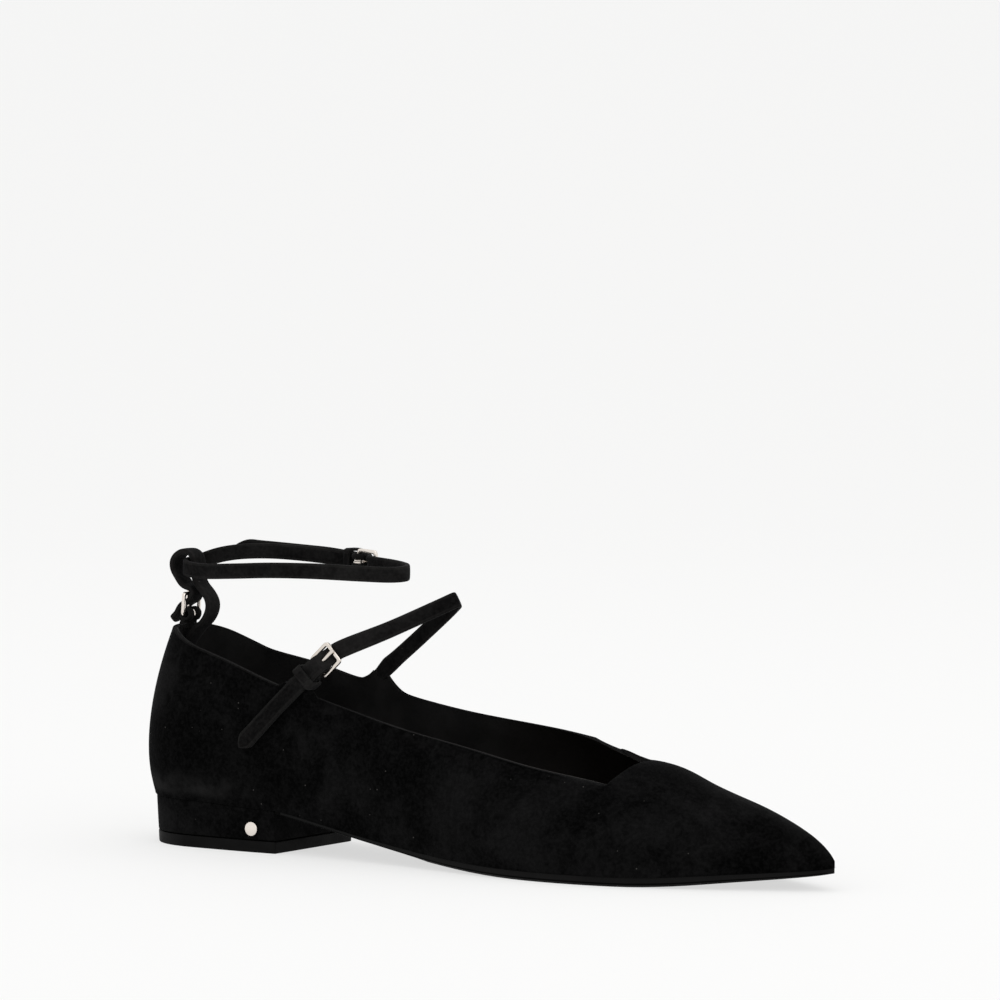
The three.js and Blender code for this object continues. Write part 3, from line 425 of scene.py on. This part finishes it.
# Corners nearer than this are one, and triangles that lie within these angles become quads
MERGE_DISTANCE = 0.002 * MM
QUAD_FACE_ANGLE = math.radians(35)
QUAD_SHAPE_ANGLE = math.radians(60)

# Rounded edges: how many steps, and how sharp an edge is before it is rounded
EDGE_SEGMENTS = 3
SHARP_ANGLE = 35.0


def deselect() -> None:
    """Leave edit mode and deselect everything."""
    if bpy.context.mode != "OBJECT":
        bpy.ops.object.mode_set(mode="OBJECT")
    bpy.ops.object.select_all(action="DESELECT")


def pick(piece: bpy.types.Object) -> None:
    """Make a piece the only selected and active object."""
    deselect()
    piece.select_set(True)
    bpy.context.view_layer.objects.active = piece


def copy_of(node: str, name: str) -> bpy.types.Object:
    """Copy a CAD node as a new piece, with its triangles merged into quads again.

    Args:
        node: the CAD node.
        name: the new piece's name.

    Returns:
        The new piece.
    """
    mesh = bpy.data.objects[node].data.copy()
    mesh.name = name
    mesh.materials.clear()
    piece = bpy.data.objects.new(name, mesh)
    bpy.context.scene.collection.objects.link(piece)
    pick(piece)
    bpy.ops.object.mode_set(mode="EDIT")
    bpy.ops.mesh.select_all(action="SELECT")
    bpy.ops.mesh.remove_doubles(threshold=MERGE_DISTANCE)
    bpy.ops.mesh.tris_convert_to_quads(face_threshold=QUAD_FACE_ANGLE, shape_threshold=QUAD_SHAPE_ANGLE)
    bpy.ops.object.mode_set(mode="OBJECT")
    return piece


def modify(piece: bpy.types.Object, kind: str, **settings: object) -> None:
    """Add a modifier, set it and apply it.

    Args:
        piece: the piece it works on.
        kind: the modifier's type.
        **settings: its attributes.
    """
    pick(piece)
    modifier = piece.modifiers.new(kind.lower(), kind)
    for key, value in settings.items():
        setattr(modifier, key, value)
    bpy.ops.object.modifier_apply(modifier=modifier.name)


def round_edges(piece: bpy.types.Object, width: float, segments: int = EDGE_SEGMENTS,
                angle: float = SHARP_ANGLE, material: int = -1) -> None:
    """Bevel the sharp edges of a piece.

    Args:
        piece: the piece.
        width: width of the rounded edge.
        segments: its steps.
        angle: degrees from which an edge counts as sharp.
        material: the slot of the new faces, or -1 for that of their neighbours.
    """
    modify(piece, "BEVEL", width=width, segments=segments, limit_method="ANGLE",
           angle_limit=math.radians(angle), material=material, use_clamp_overlap=True)


def fit_cage(piece: bpy.types.Object, rounds: int) -> None:
    """Move the corners of a piece out by as much as its subdivision would pull them in.

    Args:
        piece: the piece before its subdivision.
        rounds: how often the corners are compared and moved.
    """
    goal = [vertex.co.copy() for vertex in piece.data.vertices]
    for _ in range(rounds):
        trial = bpy.data.objects.new("trial", piece.data.copy())
        bpy.context.scene.collection.objects.link(trial)
        modify(trial, "SUBSURF", levels=1)
        for vertex, wanted, reached in zip(piece.data.vertices, goal, trial.data.vertices):
            vertex.co += wanted - reached.co
        bpy.data.meshes.remove(trial.data)


def smooth(piece: bpy.types.Object, levels: int, rounds: int = 0) -> None:
    """Subdivide a piece to a smooth surface, after some rounds of fitting its corners."""
    fit_cage(piece, rounds)
    modify(piece, "SUBSURF", levels=levels, render_levels=levels)
    pick(piece)
    bpy.ops.object.shade_smooth()


def dress(piece: bpy.types.Object, materials: Iterable[bpy.types.Material]) -> None:
    """Give a piece its material slots, keeping the slot of each face."""
    for material in materials:
        piece.data.materials.append(material)


def settle(piece: bpy.types.Object, node: str) -> None:
    """Hand a finished piece over to the frame.

    Args:
        piece: the finished piece.
        node: the CAD node that it stands for.
    """
    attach(piece, BODY)
    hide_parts(node)
    log.info("%s: %d faces", piece.name, len(piece.data.polygons))


@dataclass(frozen=True)
class Root:
    """How the end of a piece goes into the upper, so that no gap shows."""

    reach: float
    move: Vector
    inner_side_only: bool = False
    width_left: float = 1.0

    def sink(self, piece: bpy.types.Object) -> None:
        """Move the corners that lie within reach of the upper.

        Args:
            piece: the piece before its subdivision.
        """
        upper = bpy.data.objects["upper"].data
        tree = BVHTree.FromPolygons([corner.co for corner in upper.vertices],
                                    [face.vertices for face in upper.polygons])
        end = [corner for corner in piece.data.vertices
               if tree.find_nearest(corner.co)[3] < self.reach
               and (corner.co.y > 0 or not self.inner_side_only)]
        centre = sum((corner.co for corner in end), Vector()) / len(end)
        for corner in end:
            corner.co = centre + (corner.co - centre) * self.width_left + self.move


ROOTS = {
    "instep_strap": Root(3.6 * MM, Vector((-1.7, 0.75, -1.7)) * MM, inner_side_only=True, width_left=0.84),
    "instep_tab": Root(0.75 * MM, Vector((-0.9, -0.1, -1.2)) * MM),
    "heel_tab": Root(1.0 * MM, Vector((-0.2, 0.0, -1.8)) * MM),
    "outsole": Root(0.5 * MM, Vector((0.0, 0.0, 0.3)) * MM),
}


def islands(mesh: bmesh.types.BMesh, angle: float) -> list[list[bmesh.types.BMFace]]:
    """Group faces that join over edges flatter than an angle, largest area first.

    Args:
        mesh: the mesh to read.
        angle: radians between two faces that still counts as flat.

    Returns:
        Lists of faces.
    """
    left = set(mesh.faces)
    groups = []
    while left:
        stack = [left.pop()]
        group = []
        while stack:
            face = stack.pop()
            group.append(face)
            for edge in face.edges:
                if edge.calc_face_angle(math.pi) < angle:
                    near = [other for other in edge.link_faces if other in left]
                    left.difference_update(near)
                    stack.extend(near)
        groups.append(group)
    return sorted(groups, key=lambda faces: -sum(face.calc_area() for face in faces))


# Sub-assemblies


@dataclass
class Upper:
    """Suede upper with its lining and the cut edge round the topline."""

    rim_angle: float = 42.0
    rim_bevel: float = 0.45 * MM
    rim_segments: int = 2
    rim_above: float = 25 * MM
    levels: int = 2

    def mark_sides(self, piece: bpy.types.Object) -> None:
        """Give the outside, the lining and the topline edge their material slots."""
        mesh = bmesh.new()
        mesh.from_mesh(piece.data)
        groups = islands(mesh, math.radians(self.rim_angle))
        reach = [max(v.co.x for face in group for v in face.verts) for group in groups[:2]]
        lining = groups[0] if reach[0] < reach[1] else groups[1]
        for face in lining:
            face.material_index = 1
        for group in groups[2:]:
            for face in group:
                face.material_index = 2 if face.calc_center_median().z > self.rim_above else 0
        mesh.to_mesh(piece.data)
        mesh.free()

    def build(self, materials: dict[str, bpy.types.Material]) -> None:
        """Model the upper and dress it."""
        piece = copy_of("upper", "suede_upper")
        dress(piece, (materials["suede"], materials["lining"], materials["edge"]))
        self.mark_sides(piece)
        round_edges(piece, self.rim_bevel, self.rim_segments, self.rim_angle)
        smooth(piece, self.levels, 1)
        settle(piece, "upper")


@dataclass(frozen=True)
class BottomPart:
    """One piece of the bottom, with its finishes and the width of its rounded edges."""

    node: str
    name: str
    slot: Slot
    finishes: tuple[str, ...]
    bevel: float = 0.35 * MM
    levels: int = 1
    edge: int = -1


@dataclass
class Bottom:
    """Insole, outsole, heel block, top lift and the stud."""

    parts: tuple[BottomPart, ...] = (
        BottomPart("insole", "sock_lining", Slot.LINING, ("insole",)),
        BottomPart("outsole", "leather_sole", Slot.SOLE, ("sole", "sole edge"), edge=1),
        BottomPart("heel_block", "covered_heel", Slot.SUEDE, ("suede",)),
        BottomPart("top_lift", "rubber_lift", Slot.LIFT, ("lift",)),
        BottomPart("heel_stud", "round_stud", Slot.METAL, ("metal",), bevel=0.12 * MM, levels=2),
    )

    def build(self, materials: dict[str, bpy.types.Material]) -> None:
        """Model the bottom of the shoe."""
        for part in self.parts:
            piece = copy_of(part.node, part.name)
            dress(piece, (materials[finish] for finish in part.finishes))
            if part.node in ROOTS:
                ROOTS[part.node].sink(piece)
            round_edges(piece, part.bevel, material=part.edge)
            smooth(piece, part.levels)
            settle(piece, part.node)


@dataclass
class Straps:
    """Suede straps, tabs and keepers, in suede painted lighter for the light they catch, with lighter cut
    edges.
    """

    edge_width: float = 1.0 * MM
    levels: int = 2
    names: tuple[tuple[str, str], ...] = (
        ("instep_strap", "instep_band"), ("instep_tab", "instep_root"),
        ("ankle_strap", "ankle_band"), ("heel_loop", "heel_sling"), ("heel_tab", "heel_root"),
        ("instep_keeper", "instep_slide"), ("ankle_keeper", "ankle_slide"))

    def mark_edges(self, piece: bpy.types.Object) -> None:
        """Give the narrow side faces of a strap the cut edge's material slot."""
        mesh = bmesh.new()
        mesh.from_mesh(piece.data)
        for face in mesh.faces:
            longest = max(edge.calc_length() for edge in face.edges)
            if longest > 0 and face.calc_area() / longest < self.edge_width:
                face.material_index = 1
        mesh.to_mesh(piece.data)
        mesh.free()

    def band(self, node: str, name: str, materials: dict[str, bpy.types.Material]) -> None:
        """Model one strap, tab or keeper."""
        piece = copy_of(node, name)
        # The strap finish is the black suede painted lighter for the light on the straps
        dress(piece, (materials["strap"], materials["edge"]))
        self.mark_edges(piece)
        if node in ROOTS:
            ROOTS[node].sink(piece)
        smooth(piece, self.levels, 0 if node.endswith("keeper") else 1)
        settle(piece, node)

    def build(self, materials: dict[str, bpy.types.Material]) -> None:
        """Model all the straps."""
        for node, name in self.names:
            self.band(node, name, materials)


@dataclass
class Buckles:
    """Plated frames and prongs."""

    bevel: float = 0.24 * MM
    smooth_angle: float = math.radians(50)

    def build(self, materials: dict[str, bpy.types.Material]) -> None:
        """Model the three buckles."""
        for place in ("instep", "ankle", "rear"):
            for part in ("buckle", "prong"):
                piece = copy_of(f"{place}_{part}", f"{place}_metal_{part}")
                dress(piece, (materials["metal"],))
                round_edges(piece, self.bevel)
                pick(piece)
                bpy.ops.object.shade_smooth_by_angle(angle=self.smooth_angle)
                settle(piece, f"{place}_{part}")


# Studio


@dataclass(frozen=True)
class PhotoCamera:
    """Camera fitted to the photograph: it looks down a little at the outer front of the shoe."""

    azimuth: float = math.radians(32.422)
    elevation: float = math.radians(3.223)
    roll: float = math.radians(0.4457)
    distance: float = 1.8432
    target: Vector = Vector((0.003795, 0.000607, 0.11944))
    lens: float = 202.67
    view_depth: float = 50.0

    def build(self) -> None:
        """Add the camera and make it the scene's."""
        az, el, roll = self.azimuth, self.elevation, self.roll
        ahead = Vector((-math.sin(az) * math.cos(el), math.cos(az) * math.cos(el), -math.sin(el)))
        right = Vector((math.cos(az), math.sin(az), 0.0))
        up = right.cross(ahead)
        right, up = (right * math.cos(roll) + up * math.sin(roll),
                     up * math.cos(roll) - right * math.sin(roll))
        data = bpy.data.cameras.new("photo camera")
        data.lens = self.lens
        data.clip_end = self.view_depth
        camera = bpy.data.objects.new("photo camera", data)
        turn = Matrix((right, up, -ahead)).transposed().to_4x4()
        camera.matrix_world = Matrix.Translation(self.target - ahead * self.distance) @ turn
        bpy.context.scene.collection.objects.link(camera)
        bpy.context.scene.camera = camera


@dataclass(frozen=True)
class Softbox:
    """One soft square light that points at the shoe."""

    name: str
    place: Vector
    size: float
    power: float
    target: Vector = Vector((0.0, 0.0, 0.04))

    def build(self) -> None:
        """Add the light."""
        data = bpy.data.lights.new(self.name, "AREA")
        data.size = self.size
        data.energy = self.power
        lamp = bpy.data.objects.new(self.name, data)
        turn = (self.target - self.place).to_track_quat("-Z", "Y").to_matrix().to_4x4()
        lamp.matrix_world = Matrix.Translation(self.place) @ turn
        bpy.context.scene.collection.objects.link(lamp)


@dataclass(frozen=True)
class Studio:
    """Pale paper that curves up behind the shoe, and large soft lights."""

    paper: Colour = (0.28, 0.28, 0.279, 1.0)
    glow: float = 0.635
    sky: Colour = (0.95, 0.95, 0.948, 1.0)
    half_size: float = 3.0
    fold: float = 1.6
    fold_segments: int = 24
    glow_colour: Colour = (1.0, 1.0, 0.995, 1.0)
    roughness: float = 0.9
    specular: float = 0.1
    lights: tuple[Softbox, ...] = (
        Softbox("top softbox", Vector((0.1, 0.2, 1.5)), size=1.6, power=4.4),
        Softbox("front softbox", Vector((1.3, -0.8, 1.0)), size=1.2, power=4.1),
    )

    def floor(self) -> None:
        """Add the paper: a floor with its far edge drawn up and the fold rounded."""
        deselect()
        bpy.ops.mesh.primitive_plane_add(size=2 * self.half_size, location=(0.0, 0.0, 0.0))
        sweep = bpy.context.object
        sweep.name = "paper_sweep"
        bpy.ops.object.mode_set(mode="EDIT")
        bpy.ops.mesh.select_all(action="DESELECT")
        mesh = bmesh.from_edit_mesh(sweep.data)
        for edge in mesh.edges:
            if all(vertex.co.y > 0 for vertex in edge.verts):
                edge.select_set(True)
        bmesh.update_edit_mesh(sweep.data)
        bpy.ops.mesh.extrude_region_move(
            TRANSFORM_OT_translate={"value": (0.0, 0.0, self.half_size)})
        bpy.ops.mesh.select_all(action="DESELECT")
        mesh = bmesh.from_edit_mesh(sweep.data)
        for edge in mesh.edges:
            if all(vertex.co.y > 0 and vertex.co.z < MM for vertex in edge.verts):
                edge.select_set(True)
        bmesh.update_edit_mesh(sweep.data)
        bpy.ops.mesh.bevel(offset=self.fold, segments=self.fold_segments, affect="EDGES")
        bpy.ops.object.mode_set(mode="OBJECT")
        sweep.data.transform(Matrix.Rotation(PhotoCamera.azimuth, 4, "Z"))
        bpy.ops.object.shade_smooth()
        material, _, shader = new_material("pale paper")
        shader.inputs["Base Color"].default_value = self.paper
        shader.inputs["Emission Color"].default_value = self.glow_colour
        shader.inputs["Emission Strength"].default_value = self.glow
        shader.inputs["Roughness"].default_value = self.roughness
        shader.inputs["Specular IOR Level"].default_value = self.specular
        sweep.data.materials.append(material)

    def build(self) -> None:
        """Add the floor, the lights and the sky."""
        self.floor()
        for light in self.lights:
            light.build()
        world = bpy.data.worlds.new("pale sky")
        world.use_nodes = True
        world.node_tree.nodes["Background"].inputs["Color"].default_value = self.sky
        bpy.context.scene.world = world
        bpy.context.scene.view_settings.view_transform = "Standard"


def main() -> None:
    """Build the studio and every piece of the shoe."""
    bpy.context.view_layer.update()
    PhotoCamera().build()
    Studio().build()
    finishes = {"suede": SUEDE, "strap": LIT_STRAP_SUEDE, "edge": CUT_EDGE, "lining": LINING,
                "insole": INSOLE, "sole": SOLE, "sole edge": SOLE_EDGE, "lift": LIFT, "metal": METAL}
    materials = {key: finish.material() for key, finish in finishes.items()}
    for assembly in (Upper(), Bottom(), Straps(), Buckles()):
        assembly.build(materials)


if __name__ == "__main__":
    logging.basicConfig(level=logging.INFO, format="%(name)s: %(message)s")
    main()
